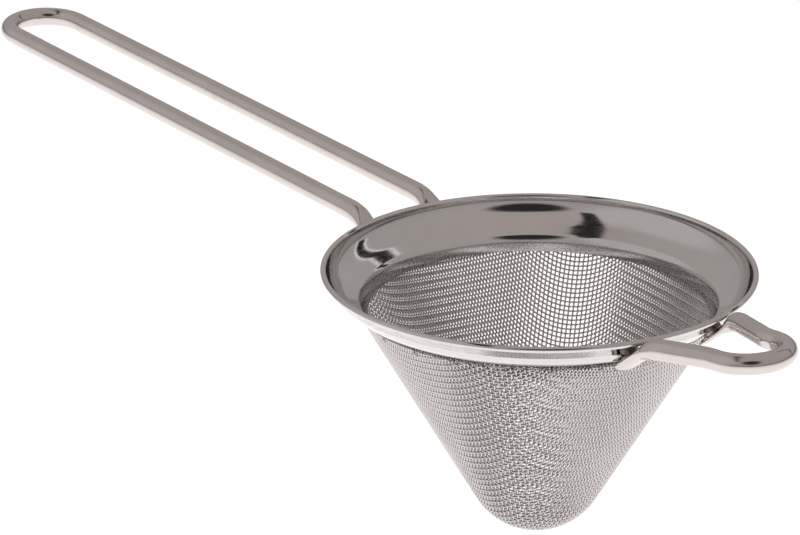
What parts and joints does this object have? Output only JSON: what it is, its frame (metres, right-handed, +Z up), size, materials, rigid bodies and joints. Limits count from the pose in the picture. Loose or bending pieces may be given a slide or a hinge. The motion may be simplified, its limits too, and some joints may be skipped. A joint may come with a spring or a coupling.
{
  "type": "conical tea strainer",
  "caption": "Stainless steel conical fine-mesh strainer with a pressed rim, a long wire loop handle and a short wire loop that rests on the far side of a cup.",
  "frame": {"origin": "on the cone's axis, in the plane of the rim's top", "axes": "+Z up along the cone's axis out of its mouth, handle along -X, rest loop along +X, symmetric about the XZ plane"},
  "size_m": [0.2452, 0.085, 0.066],
  "materials": {
    "rim_steel": "mirror-polished stainless steel sheet",
    "mesh_steel": "bright drawn stainless steel wire cloth",
    "wire_steel": "polished stainless steel wire",
    "weld_steel": "resistance weld, lightly cleaned"
  },
  "bodies": {
    "root": {"rim": "rim_steel", "mesh_cone": "mesh_steel", "handle": "wire_steel", "rest_loop": "wire_steel", "handle_welds": "weld_steel", "rest_loop_welds": "weld_steel", "mesh_spot_welds": "weld_steel"}
  },
  "joints": []
}
